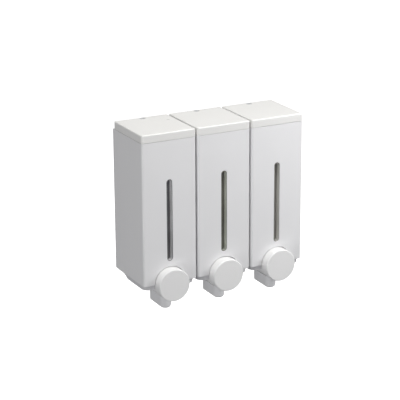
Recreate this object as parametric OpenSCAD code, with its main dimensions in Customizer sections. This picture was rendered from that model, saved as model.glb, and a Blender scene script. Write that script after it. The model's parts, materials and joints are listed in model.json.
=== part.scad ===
// Wall mounted soap dispenser: three push-button dispensers side by side on one wall plate.
// The origin is the centre of the wall plate's back face. +Y goes into the wall, +Z is up.
// Inside a unit, heights are measured from the housing's bottom edge, and "behind" means
// the distance behind the housing's front face.

/* [Unit] */
// Width of one dispenser
unit_w = 70.4; // [58:0.1:86]
// Depth from the wall to the housing's front face
unit_d = 79.2; // [66:0.1:96]
// Height of the housing up to the lid
housing_h = 176.3; // [146:0.1:214]
// Height of the lid
lid_h = 10; // [8.4:0.1:12]
// Gap between neighbouring dispensers
unit_gap = 2.4; // [1:0.1:6]
// Housing and lid wall thickness
wall = 2.2; // [1.8:0.1:2.8]
// Radius of the upright front edges
edge_r = 2.5; // [2:0.1:4]
// Radius of the lid's top edges
top_r = 1.6; // [1:0.1:1.9]
// Gap at the parting line between housing and lid
parting_gap = 0.4; // [0.3:0.05:0.8]

/* [Wall plate] */
// Thickness of the wall plate
plate_t = 2.6; // [2:0.1:4]
// Radius of the wall screw holes
screw_hole_r = 2.4; // [1.8:0.1:3]
// Height between the upper and lower wall screw holes
screw_rows = 110; // [80:1:120]

/* [Window] */
// Width of the sight window's slot
window_w = 7.8; // [6:0.1:12]
// Height of the sight window's slot
window_h = 101.7; // [70:0.1:110]
// Depth of the window's dish behind the front face
window_depth = 5.6; // [4.6:0.1:8]

/* [Button] */
// Radius of the push button
button_r = 20.1; // [18:0.1:24.3]
// How far the button stands out from the housing
button_out = 12; // [10:0.1:15]
// Distance that the button travels when pushed
button_travel = 9; // [7:0.1:9.5]
// How far the button's skirt runs back behind the front face
skirt_back = 33.2; // [31:0.1:36]
// Wall thickness of the button
button_wall = 1.8; // [1.4:0.1:2.4]
// Rounding of the button's front edge
button_edge_r = 1.3; // [0.8:0.1:3]
// Gap between the button and the parts around it
button_gap = 0.6; // [0.4:0.05:1]

/* [Pump] */
// Radius of the pump chamber's bore
chamber_r = 8; // [6.6:0.1:9]
// Wall thickness of the pump barrel
barrel_wall = 2.5; // [2:0.1:3]
// Running gap between the piston seal and the bore, and between the lock and its bore
running_gap = 0.05; // [0.02:0.01:0.09]
// Radius of the piston rod
rod_r = 3; // [2:0.1:4]
// Wire diameter of the return spring
spring_wire = 1; // [0.8:0.1:1.3]
// Turns of the return spring
spring_turns = 7; // [5:1:8]
// Radius of the outlet neck between pump and spout
neck_r = 4.5; // [3.8:0.1:5.2]

/* [Spout] */
// Half of the spout's width, and the radius of its nose
spout_r = 7.2; // [6.4:0.1:9.4]
// Length of the spout
spout_l = 34.6; // [30:0.1:35.2]
// How far the spout's nose stays behind the front face
spout_back = 8; // [2:0.1:8.6]
// Height of the spout below the button
spout_h = 16.2; // [13:0.1:19.5]
// Rounding of the spout's lower edges
spout_edge_r = 4; // [1:0.1:4.5]
// Gap between the button's skirt and the spout's saddle
saddle_gap = 1.8; // [0.6:0.1:2.4]

/* [Base tray] */
// How far the base tray hangs below the housing
tray_drop = 5.8; // [3.6:0.1:7]
// How far the base tray is set in from the housing's sides
tray_inset = 1.5; // [0.5:0.1:2]
// Radius of the base tray's front corners
tray_corner_r = 9; // [5:0.1:10]

/* [Reservoir] */
// Wall thickness of the reservoir
tank_wall = 1.5; // [1.2:0.1:2.2]
// Space between the reservoir and the parts around it
tank_gap = 0.9; // [0.5:0.1:1.5]
// Space between the reservoir's rim and the lid
tank_headroom = 12; // [10.5:0.1:16]

/* [Lock] */
// Radius of the lock's round face
lock_r = 3.7; // [3:0.1:3.8]
// Distance from the lid's rear edge to the lock's centre
lock_back = 6; // [5.8:0.1:7.5]

/* [Hidden] */
$fn = 64;
eps = 0.01;
sides = ["left", "middle", "right"];
unit_parts = [
    "housing", "lid", "lock", "window", "reservoir", "outlet_seal", "inlet_valve", "pump_body",
    "piston", "piston_seal", "return_spring", "button", "outlet_valve", "spout", "base_tray"
];

// Places of the three units and of the whole body
unit_pitch = unit_w + unit_gap;
last_unit = len(sides) - 1;
plate_w = last_unit * unit_pitch + unit_w;
plate_h = housing_h;
front = -unit_d;
half_w = unit_w / 2;
inner_w = half_w - wall;
slip_gap = 0.15;
seal_gap = 0.05;
plate_rib_out = 3;
plate_rib_t = 1.6;
plate_rib_end = 12;

// Lid and lock
lid_z = housing_h + parting_gap;
lid_top = housing_h + lid_h;
lid_roof = 2.4;
rim_drop = 4;
rim_t = 1.6;
rim_gap = 0.35;
rim_rear = 14;
lock_y = -plate_t - lock_back;
boss_wall = 1.8;
boss_l = 3.6;
boss_z = lid_top - lid_roof - boss_l;
flange_out = 0.5;
flange_r = lock_r + flange_out;
flange_t = 1.2;
flange_gap = 0.3;
lock_shaft_r = 2.4;
cam_drop = 5.8;
cam_z = housing_h - cam_drop;
cam_t = 2;
cam_r = 2;
cam_clear = 0.8;
cam_reach = lock_back - cam_r - cam_clear;
catch_gap = 0.5;
catch_t = 2;
catch_clear = 0.7;
catch_out = lock_back - lock_shaft_r - catch_clear;
catch_w = 12;
key_w = 1.2;
key_l = 4.6;
key_deep = 2;

// Window
window_above_button = 7.3;
window_z = button_r + window_above_button;
window_wall = 0.9;
window_lens = 1.2;
window_set = 0.5;
window_rim = 2.8;
window_rim_t = 1.4;

// Reservoir, its outlet and the inlet valve
tank_above_button = 3.8;
tank_floor = button_r + tank_above_button;
tank_top = housing_h - tank_headroom;
tank_front = front + window_depth + window_lens + tank_gap;
tank_rear = -plate_t - plate_rib_out - tank_gap;
tank_half_w = inner_w - tank_gap;
tank_corner_r = 4;
spigot_r = 4;
spigot_bore_r = 2.6;
seal_wall = 2;
socket_r = spigot_r + seal_wall;
turret_wall = 2;
turret_r = socket_r + turret_wall;
turret_gap = 3;
turret_top = tank_floor - turret_gap;
socket_deep = 5;
spigot_short = 2;
spigot_drop = turret_top - tank_floor - socket_deep + spigot_short;
seal_short = 1;
seat_t = 1.6;
seat_z = turret_top - socket_deep - seat_t;
valve_bore_r = 4.8;
valve_disc_r = 4.2;
valve_disc_t = 0.9;
valve_stem_r = 0.9;
valve_bulb_r = 1.3;
valve_bulb_h = 1;
port_r = 0.9;
port_circle_r = 2.7;
port_count = 6;

// Pump
barrel_r = chamber_r + barrel_wall;
button_face = front - button_out;
barrel_clear = 2.4;
barrel_front = button_face + button_wall + button_travel + barrel_clear;
flow_back = 29;
flow_y = front + flow_back;
chamber_back = 36;
chamber_rear = front + chamber_back;
bulkhead_clear = 1.8;
bulkhead_y = front + skirt_back + button_travel + bulkhead_clear;
bulkhead_t = 3.2;
bulkhead_half_w = 17;
bulkhead_top = 14;
pump_flange_r = 16;
pump_flange_t = 3;
pump_screw_r = 1.5;
pump_screw_x = 13.2;
pump_screw_bite = 0.3;
pump_screw_head_r = 2.4;
pump_screw_head_h = 1.5;
head_play = 0.1;
recess_w = 0.8;
recess_part = 0.6;
skirt_r = button_r - button_wall;
skirt_clear = 0.6;
neck_bore_r = 2.4;
neck_l = 6;
neck_bottom = -button_r - neck_l;
chamber_end_t = 2.4;

// Piston, seal and spring
piston_inset = 3;
piston_l = 8.2;
piston_gap = 0.35;
rod_end_t = 1;
boss_gap = 3.2;
boss_t = 2;
piston_front = barrel_front + piston_inset;
piston_rear = piston_front + piston_l;
piston_r = chamber_r - piston_gap;
seal_ring_r = 0.9;
seal_centre_r = chamber_r - running_gap - seal_ring_r;
groove_r = seal_centre_r - seal_ring_r - seal_gap;
groove_play = 0.3;
groove_w = 2 * seal_ring_r + groove_play;
groove_y = (piston_front + piston_rear) / 2;
boss_r = rod_r + boss_t;
rod_front = button_face + button_wall + rod_end_t;
button_boss_back = barrel_front - boss_gap;
spring_inset = 2.4;
spring_r = chamber_r - spring_inset;
spring_sides = 8;
spring_steps = 20;
spring_front = piston_rear + spring_wire / 2 + seal_gap;
spring_rear = chamber_rear - spring_wire / 2 - seal_gap;

// Spout
spout_nose_y = front + spout_back + spout_r;
spout_rear = front + spout_back + spout_l;
spout_bottom = -button_r - spout_h;
saddle_r = button_r + saddle_gap;
outlet_y = spout_nose_y;
duct_r = 2.4;
duct_z = neck_bottom - duct_r;
outlet_r = 3.6;
outlet_deep = 5;
outlet_mouth_r = 2.6;
outlet_valve_wall = 0.7;
outlet_lip = 0.8;
duckbill_set = 0.2;
duckbill_slit_w = 3.2;
duckbill_slit = 0.3;

// Base tray and its screws
tray_half_w = half_w - tray_inset;
tray_front = front + tray_inset;
tray_t = 2;
tray_rear_drop = 1.6;
tray_step_back = 16;
tray_step_y = -plate_t - tray_step_back;
tray_step_l = 14;
tray_steps = 12;
tray_rear_r = 3;
tray_lip_h = 4;
tray_lip_t = 1.5;
tray_lip_back = 2;
channel_r = button_r + button_gap;
post_inset = 9;
post_x = half_w - post_inset;
post_back = 14;
post_y = -plate_t - post_back;
post_r = 3;
screw_inset = 3.6;
screw_x = inner_w - screw_inset;
screw_back = 14;
screw_front_y = front + screw_back;
screw_boss_r = 3.4;
screw_boss_h = 12;
screw_boss_z = tray_lip_h;
screw_pilot_r = 1.1;
screw_shank_r = 1.35;
screw_hole_gap = 0.25;
screw_head_r = 2.7;
screw_head_h = 1.6;
screw_l = 11;

// Positions of the unit's parts

module at_unit(i) {
    translate([(i - last_unit / 2) * unit_pitch, 0, -plate_h / 2]) children();
}

// Draws its children once for the left side and once for the right side
module both_sides() {
    children();
    mirror([1, 0, 0]) children();
}

// A cylinder along +Y from y0 to y1, on the button's axis
module along_y(r, y0, y1) {
    translate([0, y1, 0]) rotate([90, 0, 0]) cylinder(r = r, h = y1 - y0);
}

// Plan outline from the front to the rear, with round corners
module plan(hw, y0, y1, front_r, rear_r = 0) {
    difference() {
        translate([-hw, y0]) square([2 * hw, y1 - y0]);
        both_sides() corner_cut(hw, y0, front_r, 1);
        both_sides() corner_cut(hw, y1, rear_r, -1);
    }
}

// What a round plan corner takes off a square one
module corner_cut(hw, y, r, way) {
    if (r > 0) difference() {
        translate([hw - r, way > 0 ? y - 1 : y - r]) square([r + 1, r + 1]);
        translate([hw - r, y + way * r]) circle(r = r);
    }
}

// Upright stadium outline, with its lower end at height z
module stadium(w, h, z) {
    r = w / 2;
    translate([0, z + r]) circle(r = r);
    translate([0, z + h - r]) circle(r = r);
    translate([-r, z + r]) square([w, h - w]);
}

// Extrudes an X-Z outline from y0 to y1
module extrude_y(y0, y1) {
    translate([0, y1, 0]) rotate([90, 0, 0]) linear_extrude(y1 - y0) children();
}

// Outline that is round at both upper corners, from u0 to u1 across and from 0 up to h
module round_topped(u0, u1, h, r) {
    translate([u0, 0]) square([u1 - u0, h - r]);
    translate([u0 + r, 0]) square([u1 - u0 - 2 * r, h]);
    translate([u0 + r, h - r]) circle(r = r);
    translate([u1 - r, h - r]) circle(r = r);
}

// Block with round upright corners and round top edges
module soft_block(hw, y0, y1, h, corner_r, r) {
    intersection() {
        linear_extrude(h) plan(hw, y0, y1, corner_r, corner_r);
        extrude_y(y0 - 1, y1 + 1) round_topped(-hw, hw, h, r);
        extrude_x(hw + 1) round_topped(y0, y1, h, r);
    }
}

// Wall plate: screw holes, ribs that centre each housing, and the lids' catches
module wall_plate() {
    color("gainsboro") difference() {
        union() {
            translate([-plate_w / 2, -plate_t, -plate_h / 2]) cube([plate_w, plate_t, plate_h]);
            for (i = [0 : last_unit]) at_unit(i) {
                both_sides()
                    translate([inner_w - slip_gap - plate_rib_t, -plate_t - plate_rib_out,
                        tray_lip_h + plate_rib_end])
                    cube([plate_rib_t, plate_rib_out + eps, housing_h - tray_lip_h - 3 * plate_rib_end]);
                translate([-catch_w / 2, -plate_t - catch_out, cam_z + cam_t + catch_gap])
                    cube([catch_w, catch_out + eps, catch_t]);
            }
        }
        for (x = [-1, 1], z = [-1, 1])
            translate([x * last_unit * unit_pitch / 2, 1, z * screw_rows / 2])
                rotate([90, 0, 0]) cylinder(r = screw_hole_r, h = plate_t + 2);
    }
}

// Front shell with the window slot and the half-round cut-out for the button
module housing() {
    color("white") difference() {
        union() {
            difference() {
                linear_extrude(housing_h) plan(half_w, front, -plate_t, edge_r);
                translate([0, 0, -1]) linear_extrude(housing_h + 2)
                    plan(inner_w, front + wall, 1, edge_r / 2);
            }
            both_sides() translate([screw_x, screw_front_y, screw_boss_z]) {
                cylinder(r = screw_boss_r, h = screw_boss_h);
                translate([0, -screw_boss_r, 0])
                    cube([inner_w - screw_x + eps, 2 * screw_boss_r, screw_boss_h]);
            }
        }
        extrude_y(front - 1, front + wall + 1) stadium(window_w, window_h, window_z);
        along_y(button_r + button_gap, front - 1, front + wall + 1);
        both_sides() translate([screw_x, screw_front_y, 0])
            cylinder(r = screw_pilot_r, h = screw_boss_z + screw_boss_h - 1);
    }
}

// Lid with a locating rim inside the housing and a boss for the lock
module lid() {
    rim_hw = inner_w - rim_gap;
    rim_front = front + wall + rim_gap;
    inside_h = lid_h - parting_gap - lid_roof;
    color("white") difference() {
        union() {
            difference() {
                translate([0, 0, lid_z])
                    soft_block(half_w, front, -plate_t, lid_h - parting_gap, edge_r, top_r);
                translate([-inner_w, front + wall, lid_z - eps])
                    cube([2 * inner_w, unit_d - plate_t - 2 * wall, inside_h + eps]);
            }
            difference() {
                translate([0, 0, lid_z - rim_drop]) linear_extrude(rim_drop + lid_h - lid_roof)
                    plan(rim_hw, rim_front, -plate_t - rim_rear, edge_r / 2);
                translate([0, 0, lid_z - rim_drop - 1]) linear_extrude(lid_h + rim_drop + 2)
                    plan(rim_hw - rim_t, rim_front + rim_t, 0, edge_r / 2);
            }
            intersection() {
                translate([0, lock_y, boss_z])
                    cylinder(r = lock_r + boss_wall, h = lid_top - lid_roof - boss_z + eps);
                translate([-half_w, front, boss_z]) cube([unit_w, unit_d - plate_t - eps, lid_h]);
            }
        }
        translate([0, lock_y, boss_z - 1]) cylinder(r = lock_r + running_gap, h = lid_h);
        translate([0, lock_y, lid_z - 1])
            cylinder(r = flange_r + flange_gap, h = boss_z - lid_z + 1);
    }
}

// Lock: key slot on top, a flange under the lid's boss, and a cam on a shaft
module lock() {
    color("silver") translate([0, lock_y, 0]) difference() {
        union() {
            translate([0, 0, boss_z - flange_gap - flange_t])
                cylinder(r = flange_r, h = flange_t);
            translate([0, 0, boss_z - flange_gap - eps])
                cylinder(r = lock_r, h = lid_top - boss_z + flange_gap + eps);
            translate([0, 0, cam_z]) cylinder(r = lock_shaft_r, h = boss_z - cam_z - flange_gap);
            translate([0, 0, cam_z]) linear_extrude(cam_t) {
                translate([0, -cam_r]) square([cam_reach, 2 * cam_r]);
                translate([cam_reach, 0]) circle(r = cam_r);
            }
        }
        translate([-key_l / 2, -key_w / 2, lid_top - key_deep]) cube([key_l, key_w, key_deep + 1]);
    }
}

// Smoked dish behind the housing's slot, with a rim that is bonded to the housing
module window() {
    outer_w = window_w - 2 * slip_gap;
    outer_h = window_h - 2 * slip_gap;
    rim_y = front + wall;
    color([0.2, 0.2, 0.19, 0.85]) difference() {
        union() {
            extrude_y(front + window_set, front + window_depth + window_lens)
                stadium(outer_w, outer_h, window_z + slip_gap);
            extrude_y(rim_y, rim_y + window_rim_t)
                stadium(window_w + 2 * window_rim, window_h + 2 * window_rim, window_z - window_rim);
        }
        extrude_y(front - 1, front + window_depth)
            stadium(outer_w - 2 * window_wall, outer_h - 2 * window_wall,
                window_z + slip_gap + window_wall);
    }
}

// Open-topped soap reservoir with a spigot under its floor
module reservoir() {
    tank_h = tank_top - tank_floor;
    color([0.9, 0.92, 0.92, 0.6]) difference() {
        union() {
            translate([0, 0, tank_floor]) linear_extrude(tank_h)
                plan(tank_half_w, tank_front, tank_rear, tank_corner_r, tank_corner_r);
            translate([0, flow_y, tank_floor + spigot_drop])
                cylinder(r = spigot_r - seal_gap, h = -spigot_drop + eps);
        }
        translate([0, 0, tank_floor + tank_wall]) linear_extrude(tank_h)
            plan(tank_half_w - tank_wall, tank_front + tank_wall, tank_rear - tank_wall,
                tank_corner_r - tank_wall, tank_corner_r - tank_wall);
        translate([0, flow_y, tank_floor + spigot_drop - 1])
            cylinder(r = spigot_bore_r, h = tank_wall - spigot_drop + 2);
    }
}

// Rubber ring that seals the reservoir's spigot in the pump's socket
module outlet_seal() {
    seal_h = socket_deep - seal_short;
    color("dimgray") translate([0, flow_y, turret_top - socket_deep]) difference() {
        cylinder(r = socket_r - seal_gap, h = seal_h);
        translate([0, 0, -1]) cylinder(r = spigot_r, h = seal_h + 2);
    }
}

// Umbrella valve under the pump's inlet seat
module inlet_valve() {
    color("darkorange") translate([0, flow_y, seat_z]) {
        translate([0, 0, -valve_disc_t - seal_gap]) cylinder(r = valve_disc_r, h = valve_disc_t);
        translate([0, 0, -seal_gap - eps])
            cylinder(r = valve_stem_r, h = seat_t + 2 * seal_gap + 2 * eps);
        translate([0, 0, seat_t + seal_gap]) cylinder(r = valve_bulb_r, h = valve_bulb_h);
    }
}

// Fixed pump: barrel, inlet turret, outlet neck and the flange that the bulkhead carries
module pump_body() {
    color("whitesmoke") difference() {
        union() {
            along_y(barrel_r, barrel_front, bulkhead_y);
            along_y(pump_flange_r, bulkhead_y - pump_flange_t, bulkhead_y);
            translate([0, flow_y, 0]) cylinder(r = turret_r, h = turret_top);
            translate([0, flow_y, neck_bottom]) cylinder(r = neck_r, h = -neck_bottom);
        }
        along_y(chamber_r, barrel_front - 1, chamber_rear);
        along_y(chamber_r, chamber_rear + chamber_end_t, bulkhead_y + 1);
        translate([0, flow_y, 0]) cylinder(r = valve_bore_r, h = seat_z);
        translate([0, flow_y, turret_top - socket_deep]) cylinder(r = socket_r, h = socket_deep + 1);
        translate([0, flow_y, seat_z - 1]) cylinder(r = valve_stem_r + seal_gap, h = seat_t + 2);
        for (k = [0 : port_count - 1]) rotate_about_flow(k * 360 / port_count)
            translate([port_circle_r, 0, seat_z - 1]) cylinder(r = port_r, h = seat_t + 2);
        translate([0, flow_y, neck_bottom - 1]) cylinder(r = neck_bore_r, h = -neck_bottom);
        both_sides() translate([pump_screw_x, 0, 0])
            along_y(pump_screw_r, bulkhead_y - pump_flange_t - 1, bulkhead_y + 1);
    }
}

// Turns its children about the upright axis of the inlet and the neck
module rotate_about_flow(angle) {
    translate([0, flow_y, 0]) rotate([0, 0, angle]) children();
}

// Piston head with a groove for its seal, on a rod that plugs into the button
module piston() {
    color("ivory") difference() {
        union() {
            along_y(rod_r, rod_front, piston_front + eps);
            along_y(piston_r, piston_front, piston_rear);
        }
        difference() {
            along_y(piston_r + 1, groove_y - groove_w / 2, groove_y + groove_w / 2);
            along_y(groove_r, groove_y - groove_w, groove_y + groove_w);
        }
    }
}

// Rubber ring in the piston's groove
module piston_seal() {
    color("dimgray") translate([0, groove_y, 0]) rotate([90, 0, 0]) rotate_extrude()
        translate([seal_centre_r, 0]) circle(r = seal_ring_r);
}

// Point on the spring's wire: t from 0 to 1 along the wire, a around it
function spring_point(t, a) = let (
    turn = 360 * spring_turns * t,
    r = spring_r + spring_wire / 2 * cos(a)
) [
    r * cos(turn),
    spring_front + (spring_rear - spring_front) * t + spring_wire / 2 * sin(a),
    r * sin(turn)
];

// Return spring between the piston and the chamber's end
module return_spring() {
    rings = spring_turns * spring_steps;
    n = spring_sides;
    points = [for (k = [0 : rings], s = [0 : n - 1]) spring_point(k / rings, 360 * s / n)];
    skin = [
        for (k = [0 : rings - 1], s = [0 : n - 1])
            [k * n + s, k * n + (s + 1) % n, (k + 1) * n + (s + 1) % n, (k + 1) * n + s]
    ];
    ends = [[for (s = [n - 1 : -1 : 0]) s], [for (s = [0 : n - 1]) rings * n + s]];
    color("lightsteelblue") polyhedron(points, concat(skin, ends));
}

// Half section of the button about its axis, from the axis outwards
module button_section() {
    depth = button_out + skirt_back;
    difference() {
        union() {
            translate([0, button_edge_r]) square([button_r, depth - button_edge_r]);
            square([button_r - button_edge_r, depth]);
            translate([button_r - button_edge_r, button_edge_r]) circle(r = button_edge_r);
        }
        translate([-1, button_wall]) square([skirt_r + 1, depth]);
    }
    square([boss_r, button_boss_back - button_face]);
}

// Push button: a deep cup, slotted at its rear for the pump's inlet and outlet
module button() {
    slot_front = flow_y - button_travel - skirt_clear;
    color("white") difference() {
        translate([0, button_face, 0]) rotate([-90, 0, 0]) rotate_extrude() button_section();
        along_y(rod_r + seal_gap, rod_front - seal_gap, button_boss_back + 1);
        translate([-turret_r - skirt_clear, slot_front - turret_r, 0])
            cube([2 * (turret_r + skirt_clear), skirt_back + turret_r, button_r + 1]);
        translate([-neck_r - skirt_clear, slot_front - neck_r, -button_r - 1])
            cube([2 * (neck_r + skirt_clear), skirt_back + neck_r, button_r + 1]);
    }
}

// Silicone duckbill in the spout's mouth
module outlet_valve() {
    body_r = outlet_r - seal_gap;
    lip_z = spout_bottom + outlet_lip;
    color("darkorange") translate([0, outlet_y, 0]) difference() {
        union() {
            translate([0, 0, lip_z]) cylinder(r = body_r, h = outlet_deep - outlet_lip - seal_gap);
            translate([0, 0, spout_bottom + duckbill_set])
                cylinder(r = outlet_mouth_r - seal_gap, h = outlet_lip);
        }
        translate([0, 0, lip_z + outlet_valve_wall])
            cylinder(r = body_r - outlet_valve_wall, h = outlet_deep);
        translate([-duckbill_slit_w / 2, -duckbill_slit / 2, spout_bottom])
            cube([duckbill_slit_w, duckbill_slit, outlet_deep / 2]);
    }
}

// Outline of the spout across its length, round at both lower edges
module spout_section() {
    top = -button_r + spout_r;
    difference() {
        translate([-spout_r, spout_bottom]) square([2 * spout_r, top - spout_bottom]);
        both_sides() translate([spout_r - spout_edge_r, spout_bottom - 1]) difference() {
            square([spout_edge_r + 1, spout_edge_r + 1]);
            translate([0, spout_edge_r + 1]) circle(r = spout_edge_r);
        }
    }
}

// Spout under the button, hung on the pump's neck, with a duct to its mouth
module spout() {
    top = -button_r + spout_r;
    color("white") difference() {
        union() {
            extrude_y(spout_nose_y, spout_rear) spout_section();
            translate([0, spout_nose_y, 0]) rotate([0, 0, 180]) rotate_extrude(angle = 180)
                intersection() {
                    spout_section();
                    translate([0, spout_bottom]) square([spout_r, top - spout_bottom]);
                }
        }
        along_y(saddle_r, spout_nose_y - spout_r - 1, spout_rear + 1);
        translate([0, flow_y, neck_bottom]) cylinder(r = neck_r + seal_gap, h = -neck_bottom);
        translate([0, flow_y, neck_bottom - 2 * duct_r]) cylinder(r = duct_r, h = 2 * duct_r + 1);
        translate([0, 0, duct_z]) along_y(duct_r, outlet_y, flow_y);
        translate([0, outlet_y, spout_bottom + outlet_lip])
            cylinder(r = outlet_r, h = outlet_deep - outlet_lip);
        translate([0, outlet_y, spout_bottom - 1]) cylinder(r = outlet_mouth_r, h = 3);
        translate([0, outlet_y, spout_bottom + 2]) cylinder(r = duct_r, h = duct_z - spout_bottom - 2);
    }
}

// Height of the tray's underside at a distance t along the step, from 0 to 1
function tray_step(t) = -tray_rear_drop - (tray_drop - tray_rear_drop) * (1 - cos(180 * t)) / 2;

// Side view of the tray's floor: thin at the wall, deeper towards the front
module tray_profile(up) {
    step = [for (k = [0 : tray_steps]) let (t = k / tray_steps)
        [tray_step_y - tray_step_l * t, tray_step(t) + up]];
    polygon(concat([[0, 20], [0, -tray_rear_drop + up]], step,
        [[front - 1, -tray_drop + up], [front - 1, 20]]));
}

// Extrudes a Y-Z outline across the whole width
module extrude_x(hw) {
    translate([-hw, 0, 0]) rotate([90, 0, 90]) linear_extrude(2 * hw) children();
}

// Base tray: closes the housing's bottom, and carries the pump and the reservoir
module base_tray() {
    channel_l = bulkhead_y - front;
    lip_hw = inner_w - slip_gap;
    color("lightgray") difference() {
        union() {
            difference() {
                intersection() {
                    extrude_x(half_w) tray_profile(0);
                    translate([0, 0, -tray_drop - 1]) linear_extrude(tray_drop + 1)
                        plan(tray_half_w, tray_front, -plate_t, tray_corner_r, tray_rear_r);
                }
                intersection() {
                    extrude_x(half_w) tray_profile(tray_t);
                    translate([0, 0, -tray_drop]) linear_extrude(tray_drop + 1)
                        plan(tray_half_w - 2 * tray_t, tray_front + 2 * tray_t,
                            -plate_t - 2 * tray_t, tray_corner_r - 2 * tray_t);
                }
            }
            difference() {
                translate([0, 0, -tray_rear_drop]) linear_extrude(tray_rear_drop + tray_lip_h)
                    plan(lip_hw, front + wall + slip_gap, -plate_t - tray_lip_back, edge_r);
                translate([0, 0, -tray_drop]) linear_extrude(tray_drop + tray_lip_h + 1)
                    plan(lip_hw - tray_lip_t, front + wall + slip_gap + tray_lip_t,
                        -plate_t - tray_lip_back - tray_lip_t, edge_r / 2);
            }
            translate([-bulkhead_half_w, bulkhead_y, -tray_drop + eps])
                cube([2 * bulkhead_half_w, bulkhead_t, tray_drop + bulkhead_top]);
            both_sides() translate([post_x, post_y, -tray_rear_drop + eps])
                cylinder(r = post_r, h = tank_floor + tray_rear_drop - eps);
            both_sides() translate([screw_x, screw_front_y, -tray_drop + eps])
                cylinder(r = screw_boss_r, h = tray_drop + screw_boss_z - eps);
        }
        along_y(channel_r, front - 1, bulkhead_y);
        both_sides() translate([screw_x, screw_front_y, -tray_drop - 1])
            cylinder(r = screw_shank_r + screw_hole_gap, h = tray_drop + screw_boss_z + 2);
        both_sides() translate([screw_x, screw_front_y, -tray_drop - 1])
            cylinder(r = screw_head_r + screw_hole_gap, h = screw_head_h + 1);
        both_sides() translate([pump_screw_x, 0, 0])
            along_y(pump_screw_r - pump_screw_bite, bulkhead_y - 1, bulkhead_y + bulkhead_t + 1);
    }
}

// Pan head screw that points along +Z, with a cross recess, its head's underside at the origin
module screw(shank_r, head_r, head_h, l) {
    recess_l = 2 * head_r * recess_part;
    difference() {
        union() {
            cylinder(r = shank_r, h = l);
            translate([0, 0, -head_h]) cylinder(r = head_r, h = head_h);
        }
        for (a = [0, 90]) rotate([0, 0, a]) translate([-recess_l / 2, -recess_w / 2, -head_h - 1])
            cube([recess_l, recess_w, head_h * recess_part + 1]);
    }
}

// Screws from below that hold each tray to its housing
module tray_screws() {
    color("silver") for (i = [0 : last_unit]) at_unit(i) both_sides()
        translate([screw_x, screw_front_y, -tray_drop + screw_head_h])
            screw(screw_pilot_r, screw_head_r, screw_head_h - head_play, screw_l);
}

// Screws that hold each pump to its tray's bulkhead
module pump_screws() {
    color("silver") for (i = [0 : last_unit]) at_unit(i) both_sides()
        translate([pump_screw_x, bulkhead_y - pump_flange_t, 0]) rotate([-90, 0, 0])
            screw(pump_screw_r - pump_screw_bite, pump_screw_head_r, pump_screw_head_h,
                pump_flange_t + bulkhead_t);
}

wall_plate();
tray_screws();
pump_screws();

for (i = [0 : last_unit]) at_unit(i) {
    housing();
    lid();
    lock();
    window();
    reservoir();
    outlet_seal();
    inlet_valve();
    pump_body();
    piston();
    piston_seal();
    return_spring();
    button();
    outlet_valve();
    spout();
    base_tray();
}
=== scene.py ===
import json
import math

import bmesh
import bpy
from mathutils import Matrix, Vector


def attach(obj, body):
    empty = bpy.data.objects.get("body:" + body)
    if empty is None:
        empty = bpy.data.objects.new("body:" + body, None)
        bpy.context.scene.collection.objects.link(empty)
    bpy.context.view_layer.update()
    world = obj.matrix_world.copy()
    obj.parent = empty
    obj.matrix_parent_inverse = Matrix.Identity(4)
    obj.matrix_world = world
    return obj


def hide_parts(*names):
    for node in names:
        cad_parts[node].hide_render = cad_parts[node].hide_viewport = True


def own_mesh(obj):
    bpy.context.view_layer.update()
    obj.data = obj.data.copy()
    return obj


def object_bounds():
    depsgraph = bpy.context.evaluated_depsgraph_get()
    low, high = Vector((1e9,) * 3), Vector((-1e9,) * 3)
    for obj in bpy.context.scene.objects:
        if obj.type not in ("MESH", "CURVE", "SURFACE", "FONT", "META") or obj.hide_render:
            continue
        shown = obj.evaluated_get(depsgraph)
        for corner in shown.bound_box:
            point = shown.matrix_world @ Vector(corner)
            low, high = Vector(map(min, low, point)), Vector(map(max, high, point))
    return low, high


# Looks for the wall mounted soap dispenser: moulded plastic shells with rounded edges, smoked
# sight windows, and studio light. Sizes are metres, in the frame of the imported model.

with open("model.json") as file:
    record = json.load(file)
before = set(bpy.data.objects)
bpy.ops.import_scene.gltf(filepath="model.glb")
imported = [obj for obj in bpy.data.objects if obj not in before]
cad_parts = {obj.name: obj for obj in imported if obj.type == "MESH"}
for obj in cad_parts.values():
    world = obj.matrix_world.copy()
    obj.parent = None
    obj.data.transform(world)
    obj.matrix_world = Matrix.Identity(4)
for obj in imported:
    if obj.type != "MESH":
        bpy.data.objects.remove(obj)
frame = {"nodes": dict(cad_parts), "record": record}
cad_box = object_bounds()
record = frame["record"]
nodes = frame["nodes"]
body_of = {n: body for body, members in record["behaviour"]["bodies"].items() for n in members}
slot_of = {row["node"]: row["material_slot"] for row in record["subparts"]}

SIDES = ("left", "middle", "right")

# Noise values bunch round 0.5, so materials spread this part of their range
NOISE_LOW, NOISE_HIGH = 0.2, 0.8
# Noise scales of the moulded plastic, in waves per metre
MOTTLE_SCALE = 22.0
SMUDGE_SCALE = 45.0
WAVE_SCALE = 14.0
PEEL_SCALE = 380.0
# Strengths of the moulded plastic's waves and of its orange peel
WAVE_STRENGTH = 0.06
PEEL_STRENGTH = 0.014
GLOSS_SPREAD = 0.1
COAT_ROUGHNESS = 0.12
# Bump distances, in metres
PLASTIC_BUMP = 0.001
RUBBER_BUMP = 0.0004
STEEL_BUMP = 0.0003
PLASTIC_IOR = 1.49

# ---------------------------------------------------------------- materials


def noise(nt, coords, scale, detail=3.0, roughness=0.5):
    """A noise texture in object space; scale is waves per metre."""
    tex = nt.nodes.new("ShaderNodeTexNoise")
    tex.inputs["Scale"].default_value = scale
    tex.inputs["Detail"].default_value = detail
    tex.inputs["Roughness"].default_value = roughness
    nt.links.new(coords, tex.inputs["Vector"])
    return tex.outputs["Fac"]


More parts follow.
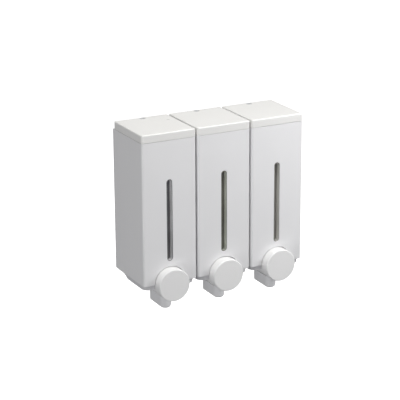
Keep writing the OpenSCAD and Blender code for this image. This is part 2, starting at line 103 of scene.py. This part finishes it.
def remap(nt, value, low, high):
    """Spreads a noise value over low to high."""
    node = nt.nodes.new("ShaderNodeMapRange")
    node.inputs["From Min"].default_value = NOISE_LOW
    node.inputs["From Max"].default_value = NOISE_HIGH
    node.inputs["To Min"].default_value = low
    node.inputs["To Max"].default_value = high
    nt.links.new(value, node.inputs["Value"])
    return node.outputs["Result"]


def tone(nt, value, dark, light):
    """A colour between dark and light, by a noise value."""
    ramp = nt.nodes.new("ShaderNodeValToRGB")
    ramp.color_ramp.elements[0].position = NOISE_LOW
    ramp.color_ramp.elements[1].position = NOISE_HIGH
    ramp.color_ramp.elements[0].color = (*dark, 1)
    ramp.color_ramp.elements[1].color = (*light, 1)
    nt.links.new(value, ramp.inputs["Fac"])
    return ramp.outputs["Color"]


def start_material(name):
    """A new node material: its tree, its shader and its object-space coordinates."""
    mat = bpy.data.materials.new(name)
    mat.use_nodes = True
    nt = mat.node_tree
    shader = nt.nodes["Principled BSDF"]
    coords = nt.nodes.new("ShaderNodeTexCoord").outputs["Object"]
    return mat, nt, shader, coords


def add_bump(nt, shader, layers, distance):
    """Chains bump layers, each a (height, strength) pair, into the shader's normal."""
    normal = None
    for height, strength in layers:
        bump = nt.nodes.new("ShaderNodeBump")
        bump.inputs["Strength"].default_value = strength
        bump.inputs["Distance"].default_value = distance
        nt.links.new(height, bump.inputs["Height"])
        if normal is not None:
            nt.links.new(normal, bump.inputs["Normal"])
        normal = bump.outputs["Normal"]
    nt.links.new(normal, shader.inputs["Normal"])


def moulded_plastic(
    name, colour, rough, grain=PEEL_SCALE, grain_strength=PEEL_STRENGTH, coat=0.25, mottling=0.012
):
    """Moulded plastic: fine orange peel, slow waviness, faint mottling and uneven gloss."""
    mat, nt, shader, coords = start_material(name)
    dark = tuple(c * (1 - mottling) for c in colour)
    light = tuple(min(1.0, c * (1 + mottling)) for c in colour)
    mottles = noise(nt, coords, MOTTLE_SCALE, 2.0, 0.4)
    nt.links.new(tone(nt, mottles, dark, light), shader.inputs["Base Color"])
    smudges = noise(nt, coords, SMUDGE_SCALE, 2.0, 0.4)
    glossy, matt = rough * (1 - GLOSS_SPREAD), rough * (1 + GLOSS_SPREAD)
    nt.links.new(remap(nt, smudges, glossy, matt), shader.inputs["Roughness"])
    shader.inputs["Coat Weight"].default_value = coat
    shader.inputs["Coat Roughness"].default_value = COAT_ROUGHNESS
    peel = noise(nt, coords, grain, 2.0)
    waves = noise(nt, coords, WAVE_SCALE, 1.0)
    add_bump(nt, shader, [(waves, WAVE_STRENGTH), (peel, grain_strength)], PLASTIC_BUMP)
    return mat


def smoked_acrylic(name, colour):
    """Smoked acrylic: opaque and glossy, with faint streaks and a slight coat."""
    mat, nt, shader, coords = start_material(name)
    dark = tuple(c * 0.8 for c in colour)
    light = tuple(c * 1.25 for c in colour)
    nt.links.new(tone(nt, noise(nt, coords, 45.0, 4.0), dark, light), shader.inputs["Base Color"])
    nt.links.new(remap(nt, noise(nt, coords, 300.0, 4.0), 0.1, 0.22), shader.inputs["Roughness"])
    shader.inputs["IOR"].default_value = PLASTIC_IOR
    shader.inputs["Coat Weight"].default_value = 0.3
    add_bump(nt, shader, [(noise(nt, coords, 120.0, 2.0), 0.05)], PLASTIC_BUMP)
    return mat


def translucent_plastic(name, colour):
    """Natural polypropylene: milky, softly see-through."""
    mat, nt, shader, coords = start_material(name)
    dark = tuple(c * 0.94 for c in colour)
    nt.links.new(tone(nt, noise(nt, coords, 30.0, 4.0), dark, colour), shader.inputs["Base Color"])
    nt.links.new(remap(nt, noise(nt, coords, 200.0, 3.0), 0.3, 0.45), shader.inputs["Roughness"])
    shader.inputs["Transmission Weight"].default_value = 0.35
    shader.inputs["IOR"].default_value = PLASTIC_IOR
    add_bump(nt, shader, [(noise(nt, coords, 500.0, 2.0), 0.08)], PLASTIC_BUMP)
    return mat


def soft_rubber(name, colour, rough):
    """Moulded rubber or silicone with a fine matt skin."""
    mat, nt, shader, coords = start_material(name)
    dark = tuple(c * 0.8 for c in colour)
    nt.links.new(tone(nt, noise(nt, coords, 250.0, 4.0), dark, colour), shader.inputs["Base Color"])
    skin = noise(nt, coords, 900.0, 3.0)
    nt.links.new(remap(nt, skin, rough * 0.85, rough), shader.inputs["Roughness"])
    add_bump(nt, shader, [(noise(nt, coords, 2400.0, 3.0), 0.2)], RUBBER_BUMP)
    return mat


def drawn_steel(name, colour):
    """Plated or drawn steel with fine scratches."""
    mat, nt, shader, coords = start_material(name)
    dark = tuple(c * 0.8 for c in colour)
    scratches = noise(nt, coords, 700.0, 5.0, 0.7)
    nt.links.new(tone(nt, scratches, dark, colour), shader.inputs["Base Color"])
    nt.links.new(remap(nt, noise(nt, coords, 1800.0, 4.0), 0.22, 0.4), shader.inputs["Roughness"])
    shader.inputs["Metallic"].default_value = 1.0
    add_bump(nt, shader, [(noise(nt, coords, 3000.0, 3.0), 0.15)], STEEL_BUMP)
    return mat


WHITE_BODY = (0.79, 0.79, 0.802)
WHITE_LID = (0.80, 0.798, 0.786)
materials = {
    "housing_plastic": moulded_plastic("housing_abs", WHITE_BODY, 0.34),
    "lid_plastic": moulded_plastic("lid_abs", WHITE_LID, 0.3),
    "button_plastic": moulded_plastic("button_abs", (0.845, 0.845, 0.845), 0.3),
    # The spout's white is partly real plastic colour and partly painted light: it is set paler than
    # the housing to stand in for light bounced up from the floor below
    "spout_plastic": moulded_plastic("spout_abs_painted_bounce", (0.86, 0.86, 0.875), 0.32),
    "tray_plastic": moulded_plastic("tray_abs", (0.66, 0.66, 0.68), 0.45, 700.0, 0.05, 0.1),
    "plate_plastic": moulded_plastic("plate_abs", (0.66, 0.66, 0.68), 0.45, 700.0, 0.05, 0.1),
    "lock_plastic": moulded_plastic("lock_abs", (0.50, 0.51, 0.52), 0.4, 900.0, 0.04, 0.1),
    "pump_plastic": moulded_plastic("pump_acetal", (0.78, 0.78, 0.75), 0.42, 900.0, 0.03, 0.0),
    "clear_plastic": translucent_plastic("tank_polypropylene", (0.86, 0.87, 0.86)),
    "rubber": soft_rubber("black_rubber", (0.035, 0.035, 0.037), 0.7),
    "silicone": soft_rubber("silicone", (0.7, 0.42, 0.22), 0.45),
    "spring_steel": drawn_steel("spring_wire", (0.62, 0.62, 0.63)),
    "screw_steel": drawn_steel("plated_screw", (0.68, 0.68, 0.7)),
}
# What is behind each smoked window tints it a little
window_materials = {
    "left": smoked_acrylic("smoked_neutral", (0.135, 0.135, 0.14)),
    "middle": smoked_acrylic("smoked_olive", (0.15, 0.152, 0.13)),
    "right": smoked_acrylic("smoked_grey", (0.27, 0.262, 0.245)),
}
# The walls of the dish are painted much paler than its floor: a painted highlight standing in for
# light that runs along the acrylic and glints on the walls
window_walls_painted_highlight = {
    "left": smoked_acrylic("smoked_neutral_wall_painted_highlight", (0.60, 0.60, 0.61)),
    "middle": smoked_acrylic("smoked_olive_wall_painted_highlight", (0.52, 0.53, 0.48)),
    "right": smoked_acrylic("smoked_grey_wall_painted_highlight", (0.55, 0.545, 0.52)),
}


def material_for(node):
    if node.endswith("_window"):
        return window_materials[node.split("_")[0]]
    return materials[slot_of[node]]


# ---------------------------------------------------------------- pieces


# Vertices closer than this, in metres, are one, and faces flatter than this angle are merged
WELD_DISTANCE = 2e-6
FLAT_ANGLE = math.radians(0.6)
# Edges sharper than this are rounded, in this many segments
SHARP_ANGLE = math.radians(32.0)
EDGE_SEGMENTS = 3
# Faces of a window whose normal has a smaller Y part than this are its walls
WALL_NORMAL_Y = 0.5


def rounded_copy(node, width):
    """A piece with the CAD node's shape and softened edges, which stands for the node."""
    mesh = nodes[node].data.copy()
    mesh.name = node + "_soft"
    bm = bmesh.new()
    bm.from_mesh(mesh)
    bmesh.ops.remove_doubles(bm, verts=bm.verts, dist=WELD_DISTANCE)
    bmesh.ops.dissolve_limit(
        bm,
        angle_limit=FLAT_ANGLE,
        verts=bm.verts,
        edges=bm.edges,
        use_dissolve_boundaries=False,
    )
    bm.to_mesh(mesh)
    bm.free()
    mesh.materials.clear()
    mesh.materials.append(material_for(node))
    # Window walls get the paler acrylic, which is a painted highlight
    if node.endswith("_window"):
        mesh.materials.append(window_walls_painted_highlight[node.split("_")[0]])
    for polygon in mesh.polygons:
        polygon.use_smooth = True
        is_wall = abs(polygon.normal.y) < WALL_NORMAL_Y
        polygon.material_index = 1 if len(mesh.materials) > 1 and is_wall else 0
    piece = bpy.data.objects.new(node + "_soft", mesh)
    bpy.context.scene.collection.objects.link(piece)
    bevel = piece.modifiers.new("edges", "BEVEL")
    bevel.width = width
    bevel.segments = EDGE_SEGMENTS
    bevel.limit_method = "ANGLE"
    bevel.angle_limit = SHARP_ANGLE
    bevel.harden_normals = True
    bevel.use_clamp_overlap = True
    normals = piece.modifiers.new("normals", "WEIGHTED_NORMAL")
    normals.keep_sharp = True
    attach(piece, body_of[node])
    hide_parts(node)


# Widths of the rounded edges, in metres
PLATE_EDGE = 0.0006
EDGE = {
    "housing": 0.0004,
    "lid": 0.00035,
    "button": 0.0003,
    "spout": 0.0004,
    "base_tray": 0.0006,
    "window": 0.0002,
    "lock": 0.0002,
}

for side in SIDES:
    for part, width in EDGE.items():
        rounded_copy(f"{side}_{part}", width)
rounded_copy("wall_plate", PLATE_EDGE)


def compressed_spring(side):
    """The return spring's coil, copied as it is from the CAD node. The real spring shortens towards
    its rear end as the button is pushed, which this copy doesn't do.
    """
    node = f"{side}_return_spring"
    mesh = nodes[node].data.copy()
    mesh.name = node + "_coil"
    mesh.transform(nodes[node].matrix_world)
    mesh.materials.clear()
    mesh.materials.append(material_for(node))
    piece = bpy.data.objects.new(node + "_coil", mesh)
    bpy.context.scene.collection.objects.link(piece)
    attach(piece, body_of[node])
    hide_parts(node)
    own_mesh(piece)


for side in SIDES:
    compressed_spring(side)

for name, obj in nodes.items():
    for index in range(len(obj.data.materials)):
        obj.data.materials[index] = material_for(name)

# ---------------------------------------------------------------- stage, light and camera

low, high = Vector(cad_box[0]), Vector(cad_box[1])
centre = (low + high) / 2


def add_floor(drop=0.22, size=12.0):
    """A plain pale floor that glows evenly, drop metres below the dispenser."""
    bm = bmesh.new()
    bmesh.ops.create_grid(bm, x_segments=1, y_segments=1, size=size)
    mesh = bpy.data.meshes.new("floor")
    bm.to_mesh(mesh)
    bm.free()
    floor = bpy.data.objects.new("floor", mesh)
    floor.location = (centre.x, centre.y, low.z - drop)
    bpy.context.scene.collection.objects.link(floor)
    mat, nt, shader, coords = start_material("pale_floor")
    nt.links.new(
        tone(nt, noise(nt, coords, 3.0, 3.0), (0.955, 0.955, 0.955), (0.965, 0.965, 0.965)),
        shader.inputs["Base Color"],
    )
    shader.inputs["Roughness"].default_value = 0.9
    shader.inputs["Emission Color"].default_value = (1, 1, 1, 1)
    shader.inputs["Emission Strength"].default_value = 0.9
    mesh.materials.append(mat)
    floor.visible_diffuse = False
    floor.visible_glossy = False


def add_area(name, place, size, power, colour=(1, 1, 1)):
    """An area light that faces the dispenser and isn't seen by the camera."""
    light = bpy.data.lights.new(name, "AREA")
    light.shape = "RECTANGLE"
    light.size, light.size_y = size
    light.energy = power
    light.color = colour
    obj = bpy.data.objects.new(name, light)
    obj.location = place
    obj.rotation_euler = (centre - obj.location).to_track_quat("-Z", "Y").to_euler()
    obj.visible_camera = False
    bpy.context.scene.collection.objects.link(obj)


# Height, as a share of the view direction, over which the room light changes
WORLD_BLEND = 0.6


def add_world(below, above):
    """Soft room light: its strength from straight below and from straight above."""
    world = bpy.data.worlds.new("studio")
    bpy.context.scene.world = world
    world.use_nodes = True
    nt = world.node_tree
    background = nt.nodes["Background"]
    split = nt.nodes.new("ShaderNodeSeparateXYZ")
    nt.links.new(nt.nodes.new("ShaderNodeTexCoord").outputs["Generated"], split.inputs["Vector"])
    ramp = nt.nodes.new("ShaderNodeMapRange")
    ramp.inputs["From Min"].default_value = -WORLD_BLEND
    ramp.inputs["From Max"].default_value = WORLD_BLEND
    ramp.inputs["To Min"].default_value = below
    ramp.inputs["To Max"].default_value = above
    nt.links.new(split.outputs["Z"], ramp.inputs["Value"])
    nt.links.new(ramp.outputs["Result"], background.inputs["Strength"])
    background.inputs["Color"].default_value = (0.985, 0.985, 1.0, 1)


WARM_WHITE = (1.0, 0.99, 0.965)
add_floor()
add_world(below=0.32, above=0.24)
add_area("key", (0.41, -0.44, 0.25), (0.18, 0.24), 1.75)
add_area("top_left", (-0.31, -0.45, 1.08), (0.9, 0.9), 4.9, WARM_WHITE)
add_area("top", (0.1, -0.2, 1.1), (0.9, 0.9), 8.4, WARM_WHITE)
add_area("low_left", (-1.2, -0.85, -0.3), (0.9, 0.4), 7.2)

# The camera: its direction from the dispenser's left and above, its distance and its lens
CAMERA_YAW = math.radians(27.397)
CAMERA_PITCH = math.radians(17.971)
CAMERA_ROLL = math.radians(0.311)
CAMERA_DISTANCE = 1.9576
CAMERA_LENS_MM = 144.91
SENSOR_MM = 36.0
CAMERA_TARGET = Vector((-0.01225, -0.040, -0.00495))


def add_camera():
    forward = Vector((
        math.sin(CAMERA_YAW) * math.cos(CAMERA_PITCH),
        math.cos(CAMERA_YAW) * math.cos(CAMERA_PITCH),
        -math.sin(CAMERA_PITCH),
    ))
    data = bpy.data.cameras.new("camera")
    data.sensor_width = SENSOR_MM
    data.lens = CAMERA_LENS_MM
    camera = bpy.data.objects.new("camera", data)
    camera.location = CAMERA_TARGET - forward * CAMERA_DISTANCE
    look = forward.to_track_quat("-Z", "Y").to_matrix()
    roll = Matrix.Rotation(CAMERA_ROLL, 3, forward)
    camera.rotation_euler = (roll @ look).to_euler()
    bpy.context.scene.collection.objects.link(camera)
    bpy.context.scene.camera = camera


add_camera()
bpy.context.scene.view_settings.view_transform = "Standard"
